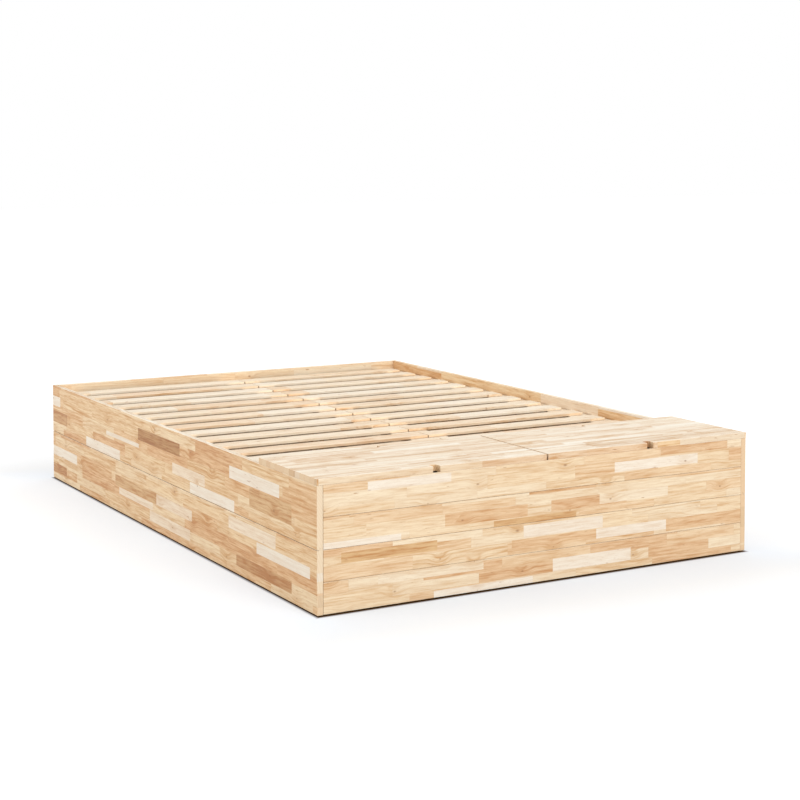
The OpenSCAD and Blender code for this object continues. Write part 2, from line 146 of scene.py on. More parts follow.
# %% Tones of the blocks
# Each tone holds from the given share of all blocks on. The quiet set leaves out the blocks that catch the
# eye, for boards on which those are placed one by one. The pale set is for slats, rails and head boards.
SAPWOOD = "#fff3df"
CREAM = "#ffecd0"
HONEY = "#fee3b8"
GOLD = "#fbdbad"
AMBER = "#f5cf9e"
TAN = "#e9c38f"
HEARTWOOD = "#deb17b"
MIXED_TONES = [
    (0.00, SAPWOOD), (0.08, CREAM), (0.20, HONEY), (0.42, GOLD),
    (0.72, AMBER), (0.89, TAN), (0.97, HEARTWOOD),
]
QUIET_TONES = [(0.00, "#fee4ba"), (0.24, "#fcdeb0"), (0.60, "#f9d6a6"), (0.86, "#f3ca98")]
PALE_TONES = [(0.00, "#fff2db"), (0.20, "#ffeed2"), (0.55, "#ffeacb"), (0.85, "#fee5c3")]


def pick_tone(tree, chance, tones):
    """Turn a chance from 0 to 1 into one of the tones, without blending them."""
    ramp = add(tree, "ValToRGB", {"Fac": chance})
    ramp.color_ramp.interpolation = "CONSTANT"
    stops = ramp.color_ramp.elements
    while len(stops) < len(tones):
        stops.new(1.0)
    for stop, (position, tone) in zip(stops, tones):
        stop.position = position
        stop.color = colour(tone)
    return ramp.outputs["Color"]


print("tones:", len(MIXED_TONES), "mixed,", len(QUIET_TONES), "quiet and", len(PALE_TONES), "pale")

# %% [markdown]
# The blocks that catch the eye on the foot boards, on the sides and on the lids' front edge are put where
# the real boards have them. Each is a rectangle on its board in millimetres, and its tone; a pair of planes
# in front of and behind the board's face makes it a box. Where two boxes overlap, the later one is seen.

# %% The blocks that catch the eye
MM = 0.001
FOOT_SAPWOOD = "#ffecce"
FOOT_CREAM = "#fee6bf"
FOOT_HONEY = "#fee1b4"
FOOT_TAN = "#f3ca97"
FOOT_HEARTWOOD = "#eabe83"
DARK_HEARTWOOD = "#c8985e"
LEFT_END_CREAM = "#ffe8c4"
LID_CREAM = "#fcecd0"
LID_PEARL = "#f8e9d0"
LID_HONEY = "#f7dfbf"
LID_GOLD = "#f8debc"

FOOT_FACE = (-1215, -1185)
LEFT_SIDE = (-825, -795)
RIGHT_SIDE = (795, 825)
LID_FRONT = (-1215, -1208)
LID_HEIGHTS = (385, 415)
LEFT_END = (-1215, -1208)
RIGHT_END = (-1215, -1150)

FOOT_BLOCKS = [
    ((-650, -358), (358, 386), FOOT_SAPWOOD), ((265, 610), (325, 358), FOOT_SAPWOOD),
    ((-800, -535), (197, 217), FOOT_SAPWOOD), ((-655, -380), (220, 258), FOOT_HONEY),
    ((205, 485), (228, 260), FOOT_CREAM), ((-90, 218), (151, 190), FOOT_SAPWOOD),
    ((192, 478), (116, 148), FOOT_SAPWOOD), ((-615, -240), (71, 98), FOOT_CREAM),
    ((22, 332), (30, 71), FOOT_SAPWOOD), ((-420, -55), (0, 26), FOOT_SAPWOOD),
    ((-740, -408), (150, 182), FOOT_HEARTWOOD), ((-202, 112), (197, 217), FOOT_HEARTWOOD),
    ((-380, -75), (220, 258), FOOT_TAN), ((-135, 192), (116, 148), FOOT_TAN),
    ((478, 800), (108, 148), FOOT_TAN),
]
LEFT_BLOCKS = [
    ((1117, 1215), (308, 348), SAPWOOD), ((-955, -582), (307, 348), SAPWOOD),
    ((227, 572), (278, 293), SAPWOOD), ((425, 802), (200, 237), SAPWOOD),
    ((-620, -252), (200, 237), SAPWOOD), ((915, 1215), (102, 140), SAPWOOD),
    ((-1163, -790), (102, 138), SAPWOOD), ((-380, -95), (240, 278), CREAM),
    ((-928, -575), (142, 183), CREAM), ((-268, 58), (100, 138), CREAM),
    ((93, 435), (72, 98), CREAM), ((-252, 122), (30, 68), CREAM),
    ((-162, 235), (308, 352), DARK_HEARTWOOD), ((1030, 1215), (240, 288), HEARTWOOD),
    ((-1040, -737), (240, 303), TAN), ((1042, 1215), (32, 68), HEARTWOOD),
    ((-1040, -635), (30, 68), HEARTWOOD), ((58, 475), (100, 140), TAN),
    (LEFT_END, (70, 392), LEFT_END_CREAM), (LEFT_END, (105, 130), SAPWOOD),
]
RIGHT_BLOCKS = [
    ((-395, -10), (350, 392), CREAM), ((-10, 760), (350, 392), HONEY),
    (RIGHT_END, (30, 392), AMBER), (RIGHT_END, (85, 155), TAN),
]
LID_BLOCKS = [
    ((-815, -245), LID_CREAM), ((-245, 155), LID_HONEY),
    ((155, 440), LID_GOLD), ((535, 815), LID_PEARL),
]
FOOT_BOXES = [(x, FOOT_FACE, z, tone) for x, z, tone in FOOT_BLOCKS]
LEFT_BOXES = [(LEFT_SIDE, y, z, tone) for y, z, tone in LEFT_BLOCKS]
RIGHT_BOXES = [(RIGHT_SIDE, y, z, tone) for y, z, tone in RIGHT_BLOCKS]
LID_BOXES = [(x, LID_FRONT, LID_HEIGHTS, tone) for x, tone in LID_BLOCKS]
print("placed blocks:", len(FOOT_BOXES), "on the foot and", len(LEFT_BOXES), "on the left side")

# %% [markdown]
# A shader has no boxes, so it finds one with a few vector steps. The place is centred and scaled so that the
# box runs from -1 to 1, made positive and rounded down. What is left has a length of 0 inside the box and of
# 1 or more outside it, which serves as a mask without any branch.


# %% Find a box in a shader
def outside_box(tree, place, sides):
    scale = [2 / ((high - low) * MM) for low, high in sides]
    centre = [-(high + low) / (high - low) for low, high in sides]
    inner = add(tree, "VectorMath", {0: place, 1: scale, 2: centre}, operation="MULTIPLY_ADD").outputs[0]
    inner = add(tree, "VectorMath", {0: inner}, operation="ABSOLUTE").outputs[0]
    inner = add(tree, "VectorMath", {0: inner}, operation="FLOOR").outputs[0]
    return add(tree, "VectorMath", {0: inner}, operation="LENGTH").outputs["Value"]


*first_box, first_tone = FOOT_BOXES[0]
print("sides of the first box in mm:", [high - low for low, high in first_box], "tone:", first_tone)

# %% [markdown]
# The blocks
#
# Two one-dimensional Voronoi patterns make the blocks: one across the board finds the row, and one along it,
# shifted at random for each row, finds the block. Cells of uneven width look more like sawn stock than a
# regular brick pattern does. A number for the panel keeps boards that lie side by side from being cut out of
# one piece, and a slat is one row by itself, so its rows are counted by the slats' pitch.

# %% Rows and blocks
OTHER_SIDE = 57.3
NEXT_BOARD = 31.7
ROW_SHIFT = 97.0


def counted(tree, place, first, pitch):
    steps = add(tree, "Math", {0: place, 1: first}, operation="SUBTRACT").outputs[0]
    steps = add(tree, "Math", {0: steps, 1: pitch}, operation="DIVIDE").outputs[0]
    return add(tree, "Math", {0: steps}, operation="FLOOR").outputs[0]


def cells(tree, place, size, start, randomness):
    """Split a line into cells: the number of each, and the distance to its edge."""
    count = add(tree, "Math", {0: place, 1: 1 / size, 2: start}, operation="MULTIPLY_ADD").outputs[0]
    inputs = {"W": count, "Scale": 1.0, "Randomness": randomness}
    number = add(tree, "TexVoronoi", inputs, voronoi_dimensions="1D").outputs["W"]
    edge = add(tree, "TexVoronoi", inputs, voronoi_dimensions="1D", feature="DISTANCE_TO_EDGE")
    edge = add(tree, "Math", {0: edge.outputs["Distance"], 1: size}, operation="MULTIPLY").outputs[0]
    return number, edge


def panel_number(tree, axis, across, seed, apart, board):
    """Pieces on the two sides of the bed, and boards in a stack, come from different panels."""
    panel = seed
    if apart:
        far_side = add(tree, "Math", {0: axis[apart], 1: 0.0}, operation="GREATER_THAN").outputs[0]
        panel = add(tree, "Math", {0: far_side, 1: OTHER_SIDE, 2: panel},
                    operation="MULTIPLY_ADD").outputs[0]
    if board:
        stack = counted(tree, axis[across], *board)
        panel = add(tree, "Math", {0: stack, 1: NEXT_BOARD, 2: panel}, operation="MULTIPLY_ADD").outputs[0]
    return panel


def rows_across(tree, place, row, panel, stripes):
    """Number the rows: wide and narrow ones, or one for each slat, which has no joint in its width."""
    if stripes:
        slat = counted(tree, place, *stripes)
        return add(tree, "Math", {0: slat, 1: panel}, operation="ADD").outputs[0], None
    return cells(tree, place, row, panel, randomness=0.6)


def blocks_along(tree, place, block, row_number, seed):
    """Number the blocks of a row, which starts at its own place."""
    start = add(tree, "TexWhiteNoise", {"W": row_number}, noise_dimensions="1D").outputs["Value"]
    start = add(tree, "Math", {0: start, 1: ROW_SHIFT, 2: seed}, operation="MULTIPLY_ADD").outputs[0]
    return cells(tree, place, block, start, randomness=0.4)


print("steps between panels:", OTHER_SIDE, "for the other side and", NEXT_BOARD, "for the next board")

# %% [markdown]
# Tones
#
# A white noise of the row's and the block's numbers is the same all over a block and jumps at its joints, so
# it picks the tone, and its three channels serve as dice for the grain. The placed blocks are laid over the
# random ones. Faces that look up are painted paler: painted light that stands in for the light from above.

# %% Tone of each block
# Painted light: faces that look up are mixed towards this pale tone, which stands in for the light from
# above
TOP_LIGHT_TINT = "#fff9ea"


def block_tones(tree, place, chance, tones, placed):
    """Colour the blocks; the placed ones lie over the others and have one grain each."""
    tone = pick_tone(tree, chance["Value"], tones)
    outside = 1.0
    for *sides, placed_tone in placed:
        beyond = outside_box(tree, place, sides)
        tone = add(tree, "Mix", {0: beyond, 6: colour(placed_tone), 7: tone}, data_type="RGBA").outputs[2]
        outside = add(tree, "Math", {0: beyond, 1: outside}, operation="MINIMUM").outputs[0]
    dice = add(tree, "VectorMath", {0: chance["Color"], "Scale": outside}, operation="SCALE").outputs[0]
    return tone, dice, outside


# Painted light: mixes upward faces towards the pale tone by the given share
def paint_top_light(tree, tone, looks_up, top_light_share):
    share = add(tree, "Math", {0: looks_up, 1: top_light_share}, operation="MULTIPLY").outputs[0]
    return add(tree, "Mix", {0: share, 6: tone, 7: colour(TOP_LIGHT_TINT)}, data_type="RGBA").outputs[2]


# Painted light: the pale tone for faces that look up
print("painted top light in linear light:", [round(c, 3) for c in colour(TOP_LIGHT_TINT)])

# %% [markdown]
# Pin knots
#
# A twig that the trunk grew over leaves a dark spot of a few millimetres, and the fibres bend round it. The
# cells of a flat Voronoi pattern are the places where one may be, and about half of them have one. The same
# distance that draws the spot also pushes the grain aside, so the two always fit together.

# %% Knots and the grain round them
AXES = "XYZ"
KNOT_CELL = 95 * MM
KNOT_STRETCH = 1.7
KNOT_SHARE = 0.55
SMALL_KNOT = 2 * MM
BIG_KNOT = 7 * MM
SWING_REACH = 34 * MM
SWING_WIDTH = 9 * MM


def pin_knots(tree, axis, run, across):
    """Say where the knots are, and how strongly the grain swings round them."""
    flat = add(tree, "Math", {0: axis[run], 1: KNOT_STRETCH}, operation="DIVIDE").outputs[0]
    flat = add(tree, "CombineXYZ", {0: flat, 1: axis[across], 2: 0.0}).outputs[0]
    inputs = {"Vector": flat, "Scale": 1 / KNOT_CELL}
    knots = add(tree, "TexVoronoi", inputs, voronoi_dimensions="2D").outputs
    dice = add(tree, "SeparateColor", {0: knots["Color"]}).outputs
    has_knot = add(tree, "Math", {0: dice[0], 1: KNOT_SHARE}, operation="LESS_THAN").outputs[0]
    radius = {0: dice[1], 3: SMALL_KNOT / KNOT_CELL, 4: BIG_KNOT / KNOT_CELL}
    radius = add(tree, "MapRange", radius).outputs[0]
    knot = add(tree, "MapRange", {0: knots["Distance"], 1: radius, 2: 0.0},
               interpolation_type="SMOOTHSTEP").outputs[0]
    knot = add(tree, "Math", {0: knot, 1: has_knot}, operation="MULTIPLY").outputs[0]
    swing = add(tree, "MapRange", {0: knots["Distance"], 1: SWING_REACH / KNOT_CELL, 2: 0.0},
                interpolation_type="SMOOTHERSTEP").outputs[0]
    swing = add(tree, "Math", {0: swing, 1: has_knot}, operation="MULTIPLY").outputs[0]
    return knot, swing


def bent_round_knots(tree, place, swing, across):
    bend = [SWING_WIDTH if a == across else 0.0 for a in AXES]
    bend = add(tree, "VectorMath", {0: bend, "Scale": swing}, operation="SCALE").outputs[0]
    return add(tree, "VectorMath", {0: place, 1: bend}, operation="ADD").outputs[0]


print("knots per square metre:", round(KNOT_SHARE / (KNOT_CELL ** 2 * KNOT_STRETCH)))

# %% [markdown]
# The grain
#
# Grain is many fine things at once, and each of them is a noise that is long along the board and narrow
# across it: wide streaks of tone, fine lines, mottle, flecks, fibres and open pores. Each block shifts the
# noises by its own dice, so the grain breaks off at every joint. Growth rings are drawn by folding a slowly
# warped place to and fro. They show as waves on some blocks only, which depends on how a block was sawn.

# %% Noises and rings
# For each noise: its length along the run, its width across it, its detail and its roughness. Real fibres
# and pores are finer; these are as coarse as they need to be to show.
NOISES = {
    "streaks": (330 * MM, 16 * MM, 2.0, 0.5),
    "lines": (120 * MM, 4.5 * MM, 3.0, 0.65),
    "mottle": (65 * MM, 7 * MM, 3.0, 0.6),
    "flecks": (42 * MM, 6 * MM, 2.0, 0.6),
    "fibres": (60 * MM, 1.0 * MM, 2.0, 0.6),
    "pores": (11 * MM, 0.7 * MM, 1.0, 0.5),
    "warp": (460 * MM, 55 * MM, 2.0, 0.5),
}
# What of each noise is seen: where it starts, where it is full, and how strong it is then
PARTS = {
    "streaks": (0.42, 0.70, 0.40),
    "lines": (0.48, 0.72, 0.42),
    "mottle": (0.45, 0.75, 0.45),
    "fibres": (0.45, 0.75, 0.25),
    "pores": (0.68, 0.76, 0.45),
    "flecks": (0.69, 0.77, 0.75),
}
BLOCK_SHIFT = 40.0
RING_PITCH = 7 * MM
RING_WANDER = 11.0
RINGS_AT_KNOT = 2.5
RING_STRENGTH = 0.55
PLAIN_BLOCK = 0.1
FIGURED_BLOCK = 0.75


def grain_noises(tree, bent, dice, run):
    shift = add(tree, "VectorMath", {0: dice, "Scale": BLOCK_SHIFT}, operation="SCALE").outputs[0]
    noises = {}
    for name, (length, width, detail, roughness) in NOISES.items():
        scale = [1 / (length if a == run else width) for a in AXES]
        place = add(tree, "VectorMath", {0: bent, 1: scale, 2: shift}, operation="MULTIPLY_ADD").outputs[0]
        inputs = {"Vector": place, "Scale": 1.0, "Detail": detail, "Roughness": roughness}
        noises[name] = add(tree, "TexNoise", inputs).outputs["Fac"]
    return noises


def seen_parts(tree, noises):
    parts = {}
    for name, (low, high, most) in PARTS.items():
        inputs = {0: noises[name], 1: low, 2: high, 3: 0.0, 4: most}
        parts[name] = add(tree, "MapRange", inputs).outputs[0]
    return parts


def growth_rings(tree, place, warp, swing, chance):
    rings = add(tree, "Math", {0: place, 1: 1 / RING_PITCH}, operation="MULTIPLY").outputs[0]
    rings = add(tree, "Math", {0: warp, 1: RING_WANDER, 2: rings}, operation="MULTIPLY_ADD").outputs[0]
    rings = add(tree, "Math", {0: swing, 1: RINGS_AT_KNOT, 2: rings}, operation="MULTIPLY_ADD").outputs[0]
    rings = add(tree, "Math", {0: rings, 1: 1.0}, operation="PINGPONG").outputs[0]
    line = add(tree, "MapRange", {0: rings, 1: 0.5, 2: 1.0, 3: 0.0, 4: RING_STRENGTH}).outputs[0]
    figured = {0: chance, 1: 0.6, 2: 0.95, 3: PLAIN_BLOCK, 4: FIGURED_BLOCK}
    figured = add(tree, "MapRange", figured).outputs[0]
    return add(tree, "Math", {0: line, 1: figured}, operation="MULTIPLY").outputs[0]


print("noises in the grain:", len(NOISES))

# %% [markdown]
# The parts are added up and darken the block's tone towards a warmer brown. Pale sapwood hardly shows its
# grain and wood from near the heart shows it most, so the sum is scaled by how blue the tone is: the
# yellower the block, the stronger its grain. Pores, flecks and knots are laid over it in browns of their
# own.

# %% The long face of a board
GRAIN_TINT = "#d8b68d"
PORE_BROWN = "#b57c48"
KNOT_BROWN = "#9a6233"
KNOT_STRENGTH = 0.7
KNOT_SHADE = 0.25
DARK_WOOD_BLUE = 0.2
PALE_WOOD_BLUE = 0.75
DARK_WOOD_GRAIN = 1.7
PALE_WOOD_GRAIN = 0.4


def grain_depth(tree, tone, most):
    blueness = add(tree, "SeparateColor", {0: tone}).outputs[2]
    depth = {0: blueness, 1: DARK_WOOD_BLUE, 2: PALE_WOOD_BLUE, 3: DARK_WOOD_GRAIN, 4: PALE_WOOD_GRAIN}
    depth = add(tree, "MapRange", depth).outputs[0]
    return add(tree, "Math", {0: depth, 1: most}, operation="MULTIPLY").outputs[0]


def grain_pattern(tree, parts, rings, swing, depth):
    grain = parts["streaks"]
    for name in ("lines", "mottle", "fibres"):
        grain = add(tree, "Math", {0: grain, 1: parts[name]}, operation="ADD").outputs[0]
    grain = add(tree, "Math", {0: grain, 1: rings}, operation="ADD").outputs[0]
    grain = add(tree, "Math", {0: swing, 1: KNOT_SHADE, 2: grain}, operation="MULTIPLY_ADD").outputs[0]
    return add(tree, "Math", {0: grain, 1: depth}, operation="MULTIPLY", use_clamp=True).outputs[0]


def long_face(tree, tone, dark, grain, parts, knot):
    face = add(tree, "Mix", {0: grain, 6: tone, 7: dark}, data_type="RGBA").outputs[2]
    spots = add(tree, "Math", {0: parts["pores"], 1: parts["flecks"]}, operation="MAXIMUM").outputs[0]
    face = add(tree, "Mix", {0: spots, 6: face, 7: colour(PORE_BROWN)}, data_type="RGBA").outputs[2]
    knot_part = add(tree, "Math", {0: knot, 1: KNOT_STRENGTH}, operation="MULTIPLY").outputs[0]
    return add(tree, "Mix", {0: knot_part, 6: face, 7: colour(KNOT_BROWN)}, data_type="RGBA").outputs[2]


print("grain tint in linear light:", [round(c, 3) for c in colour(GRAIN_TINT)])

# %% [markdown]
# End grain and glue lines
#
# Where a board is cut across, the rings show as arcs round a pith that lies somewhere beside the block, and
# the open ends of the fibres look a little greyer. The distance from that pith, folded like the rings, draws
# the arcs. A glue line is a hair of darker brown at the edge of each block and row.

# %% Ends and joints of the blocks
PITH_ACROSS = 60 * MM
PITH_DEEP = 45 * MM
ARC_PITCH = 2.5 * MM
FAINT_ARC = 0.1
STRONG_ARC = 0.6
END_GREY = "#e8d9c0"
GREY_SHARE = 0.3
GLUE_BROWN = "#b98a5a"
GLUE_WIDTH = 0.35 * MM
GLUE_STRENGTH = 0.45


def end_grain(tree, place, dice, run, across, tone, dark):
    pith = [0.0 if a == run else (PITH_ACROSS if a == across else PITH_DEEP) for a in AXES]
    cut = [0.0 if a == run else 1.0 for a in AXES]
    centre = add(tree, "VectorMath", {0: dice, 1: pith}, operation="MULTIPLY").outputs[0]
    section = add(tree, "VectorMath", {0: place, 1: cut, 2: centre}, operation="MULTIPLY_ADD").outputs[0]
    arcs = add(tree, "VectorMath", {0: section}, operation="LENGTH").outputs["Value"]
    arcs = add(tree, "Math", {0: arcs, 1: ARC_PITCH}, operation="DIVIDE").outputs[0]
    arcs = add(tree, "Math", {0: arcs, 1: 1.0}, operation="PINGPONG").outputs[0]
    arc_part = {0: arcs, 1: 0.3, 2: 1.0, 3: FAINT_ARC, 4: STRONG_ARC}
    arc_part = add(tree, "MapRange", arc_part).outputs[0]
    end_face = add(tree, "Mix", {0: arc_part, 6: tone, 7: dark}, data_type="RGBA").outputs[2]
    return add(tree, "Mix", {0: GREY_SHARE, 6: end_face, 7: colour(END_GREY)},
               data_type="RGBA").outputs[2]


def glue_lines(tree, row_edge, block_edge, outside):
    edge = block_edge
    if row_edge:
        edge = add(tree, "Math", {0: row_edge, 1: block_edge}, operation="MINIMUM").outputs[0]
    glue = {0: edge, 1: GLUE_WIDTH, 2: 0.0, 3: 0.0, 4: GLUE_STRENGTH}
    glue = add(tree, "MapRange", glue).outputs[0]
    return add(tree, "Math", {0: glue, 1: outside}, operation="MULTIPLY", use_clamp=True).outputs[0]


print("glue line in mm:", round(2 * GLUE_WIDTH / MM, 2))

# %% [markdown]
# The whole board
#
# One function puts the steps together. It takes the axis along which the blocks run and the one across
# which their rows are stacked, and what sets one board off from another. Two things come on top, both
# painted shade. Upright faces are multiplied by a deeper tone that stands in for the shade on them. The
# joints and narrow gaps are painted a dull warm brown as their shade, which a short ambient occlusion finds
# without a mask for every gap. The surface is satin, uneven in gloss along the grain and finely ridged by
# the fibres, with the pores sunk in.

# %% Wood in millimetres
# A face counts as upright, or as looking up, by the upward part of its normal, and as an end by the part
# along the run. A gap is found by how open a place is to its surroundings.
UPRIGHT = 0.5
LEVEL = 0.9
LENGTHWISE = 0.6
ENDWISE = 0.75
# Painted shade: joints and narrow gaps are mixed towards this brown by how closed in they are
GAP_SHADE_BROWN = "#7c4415"
GAP_SHADE_STRENGTH = 0.8
GAP_WIDTH = 12 * MM
GAP_OPENNESS = 0.42
DEEP_OPENNESS = 0.1
WOOD_IOR = 1.5
SATIN_GLOSS = 0.5
SMOOTH_FIBRES = 0.44
ROUGH_FIBRES = 0.58
RIDGE_HEIGHT = 0.2 * MM
RIDGE_STRENGTH = 0.25
PORE_DEPTH = 1.0


def rubberwood(name, run, across, tones=MIXED_TONES, row=38 * MM, block=350 * MM, seed=0.0,
               upright_shade="#ffffff", top_light_share=0.45, grain_strength=1.0, apart=None, board=None,
               stripes=None, placed=()):
    """Edge-glued wood with its blocks' length along run and its rows stacked along across."""
    material, tree = new_material(name)
    place = add(tree, "TexCoord").outputs["Object"]
    axis = add(tree, "SeparateXYZ", {0: place}).outputs
    normal = add(tree, "NewGeometry").outputs["Normal"]
    normal = add(tree, "SeparateXYZ", {0: normal}).outputs
    looks_up = add(tree, "MapRange", {0: normal[2], 1: UPRIGHT, 2: LEVEL}).outputs[0]

    # The blocks and their tones
    panel = panel_number(tree, axis, across, seed, apart, board)
    row_number, row_edge = rows_across(tree, axis[across], row, panel, stripes)
    block_number, block_edge = blocks_along(tree, axis[run], block, row_number, seed)
    chance = add(tree, "CombineXYZ", {0: row_number, 1: block_number, 2: seed}).outputs[0]
    chance = add(tree, "TexWhiteNoise", {"Vector": chance}, noise_dimensions="3D").outputs
    tone, dice, outside = block_tones(tree, place, chance, tones, placed)
    depth = grain_depth(tree, tone, grain_strength)
    tone = paint_top_light(tree, tone, looks_up, top_light_share)
    dark = add(tree, "Mix", {0: 1.0, 6: tone, 7: colour(GRAIN_TINT)},
               data_type="RGBA", blend_type="MULTIPLY").outputs[2]

    # The long faces
    knot, swing = pin_knots(tree, axis, run, across)
    bent = bent_round_knots(tree, place, swing, across)
    noises = grain_noises(tree, bent, dice, run)
    figure = add(tree, "SeparateXYZ", {0: dice}).outputs[1]
    rings = growth_rings(tree, axis[across], noises["warp"], swing, figure)
    parts = seen_parts(tree, noises)
    grain = grain_pattern(tree, parts, rings, swing, depth)
    face = long_face(tree, tone, dark, grain, parts, knot)

    # The ends and the glue lines
    facing_run = add(tree, "Math", {0: normal[run]}, operation="ABSOLUTE").outputs[0]
    is_end = add(tree, "MapRange", {0: facing_run, 1: LENGTHWISE, 2: ENDWISE}).outputs[0]
    end_face = end_grain(tree, place, dice, run, across, tone, dark)
    wood = add(tree, "Mix", {0: is_end, 6: face, 7: end_face}, data_type="RGBA").outputs[2]
    glue = glue_lines(tree, row_edge, block_edge, outside)
    wood = add(tree, "Mix", {0: glue, 6: wood, 7: colour(GLUE_BROWN)}, data_type="RGBA").outputs[2]

    # Painted shade: deeper upright faces, and brown in the gaps
    shaded_upright = add(tree, "Mix", {0: 1.0, 6: wood, 7: colour(upright_shade)},
                 data_type="RGBA", blend_type="MULTIPLY").outputs[2]
    wood = add(tree, "Mix", {0: looks_up, 6: shaded_upright, 7: wood}, data_type="RGBA").outputs[2]
    # Painted shade in the joints and narrow gaps, found by ambient occlusion
    openness = add(tree, "AmbientOcclusion", {"Distance": GAP_WIDTH}, samples=4).outputs["AO"]
    crevice = add(tree, "MapRange", {0: openness, 1: GAP_OPENNESS, 2: DEEP_OPENNESS}).outputs[0]
    gap_shade = add(tree, "Math", {0: crevice, 1: GAP_SHADE_STRENGTH}, operation="MULTIPLY").outputs[0]
    wood = add(tree, "Mix", {0: gap_shade, 6: wood, 7: colour(GAP_SHADE_BROWN)}, data_type="RGBA").outputs[2]

    # The satin surface
    gloss = add(tree, "MapRange", {0: crevice, 1: 0.0, 2: 1.0, 3: SATIN_GLOSS, 4: 0.0}).outputs[0]
    rough = {0: noises["lines"], 1: 0.3, 2: 0.8, 3: SMOOTH_FIBRES, 4: ROUGH_FIBRES}
    rough = add(tree, "MapRange", rough).outputs[0]
    height = add(tree, "Math", {0: parts["pores"], 1: -PORE_DEPTH, 2: noises["fibres"]},
                 operation="MULTIPLY_ADD").outputs[0]
    ridges = {"Height": height, "Strength": RIDGE_STRENGTH, "Distance": RIDGE_HEIGHT}
    bump = add(tree, "Bump", ridges).outputs[0]
    shader = add(tree, "BsdfPrincipled", {"Base Color": wood, "Roughness": rough, "IOR": WOOD_IOR,
                                          "Specular IOR Level": gloss, "Normal": bump}).outputs[0]
    add(tree, "OutputMaterial", {"Surface": shader})
    return material


# Painted shade darkens gaps up to this width
print("gaps with painted shade in mm: up to", GAP_WIDTH / MM)

# %% [markdown]
# One wood for each kind of board
#
# Boards differ in which way their blocks run and in how wide and long these are. The stacked boards start
# and end their panels at each joint, whose heights come from the ready-made pieces. The tones that deepen
# upright faces are painted shade, matched to the photograph for the sides, the foot, the head and the lids'
# edges, because they stand for how its light falls there.

# %% Woods of the walls, the chest and the lids
# Painted shade: upright faces are multiplied by these tones, one for the sides, the foot, the head and the
# lids' edges
SIDE_SHADE = "#e9e9ea"
FOOT_SHADE = "#e7eefc"
HEAD_SHADE = "#efebe4"
LID_SHADE = "#e5e0db"
SIDE_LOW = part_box("side_board_left_lower")[0]
side_stack = (SIDE_LOW.z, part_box("side_board_left_upper")[0].z - SIDE_LOW.z)
foot_stack = (SIDE_LOW.z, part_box("foot_board_2")[0].z - SIDE_LOW.z)
left_wood = rubberwood("rubberwood_left_side", "Y", "Z", QUIET_TONES, seed=3.0, upright_shade=SIDE_SHADE,
                       top_light_share=0.95, board=side_stack, placed=LEFT_BOXES)
right_wood = rubberwood("rubberwood_right_side", "Y", "Z", seed=60.0, upright_shade=SIDE_SHADE, top_light_share=0.3,
                        board=side_stack, placed=RIGHT_BOXES)
foot_wood = rubberwood("rubberwood_foot", "X", "Z", QUIET_TONES, row=34 * MM, block=310 * MM, seed=7.0,
                       upright_shade=FOOT_SHADE, grain_strength=0.78, top_light_share=0.6, board=foot_stack,
                       placed=FOOT_BOXES)
head_wood = rubberwood("rubberwood_head", "X", "Z", PALE_TONES, seed=12.0, upright_shade=HEAD_SHADE, top_light_share=0.6,
                       board=side_stack)
wall_wood = rubberwood("rubberwood_chest_wall", "X", "Z", seed=15.0)
partition_wood = rubberwood("rubberwood_partition", "Y", "Z", seed=18.0)
lid_wood = rubberwood("rubberwood_lids", "X", "Y", row=34 * MM, seed=22.0, upright_shade=LID_SHADE, top_light_share=0.8,
                      placed=LID_BOXES)
shelf_wood = rubberwood("rubberwood_chest_floor", "X", "Y", seed=33.0)
print("height of the stacked boards in mm:", round(side_stack[1] / MM), "and", round(foot_stack[1] / MM))

# %% [markdown]
# Each slat is a row of its own, so the place of the first and the pitch of all are read from the ready-made
# slats. Rails, posts and battens are sawn from longer stock, which gives them longer and wider blocks. The
# rails and slats are pale, because only their tops are seen and these lie in the light.

# %% Woods of the slats and the frame under them
SLAT_LOW, SLAT_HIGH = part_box("slat_left_01")
SLAT_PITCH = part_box("slat_left_02")[0].y - SLAT_LOW.y
FIRST_STRIPE = (SLAT_LOW.y + SLAT_HIGH.y - SLAT_PITCH) / 2
slat_wood = rubberwood("rubberwood_slats", "X", "Y", PALE_TONES, block=420 * MM, seed=41.0, top_light_share=0.2,
                       apart="X", stripes=(FIRST_STRIPE, SLAT_PITCH))
length_wood = rubberwood("rubberwood_rails", "Y", "Z", PALE_TONES, row=60 * MM, block=600 * MM, seed=52.0,
                         top_light_share=0.6)
upright_wood = rubberwood("rubberwood_posts", "Z", "X", row=70 * MM, block=900 * MM, seed=63.0)
width_wood = rubberwood("rubberwood_cross_battens", "X", "Y", row=60 * MM, block=500 * MM, seed=74.0)
print("pitch of the slats in mm:", round(SLAT_PITCH / MM, 1))

# %% [markdown]
# The wood is picked by how a piece's name begins, so a whole row of slats or a stack of boards needs one
# line, and a bed with more slats would need no other.

# %% Give every board its wood
WOODS = [
    (left_wood, ("side_board_left",)),
    (right_wood, ("side_board_right",)),
    (foot_wood, ("foot_board",)),
    (head_wood, ("head_board",)),
    (wall_wood, ("chest_rear_wall",)),
    (partition_wood, ("chest_partition",)),
    (shelf_wood, ("chest_floor_left", "chest_floor_right")),
    (lid_wood, ("lid_left", "lid_right")),
    (slat_wood, ("slat_left", "slat_right")),
    (length_wood, ("lid_battens", "slat_ledge", "ledge_rails", "centre_beam", "centre_cleat")),
    (width_wood, ("chest_floor_battens",)),
    (upright_wood, ("centre_legs", "beam_end_posts", "corner_posts", "tie_battens", "slat_pegs")),
]


def finish_piece(name, material):
    for slot in nodes[name].material_slots:
        slot.material = material


wooden = 0
for wood, beginnings in WOODS:
    for name in nodes:
        if name.startswith(beginnings):
            finish_piece(name, wood)
            wooden += 1
print("wood given to", wooden, "pieces")

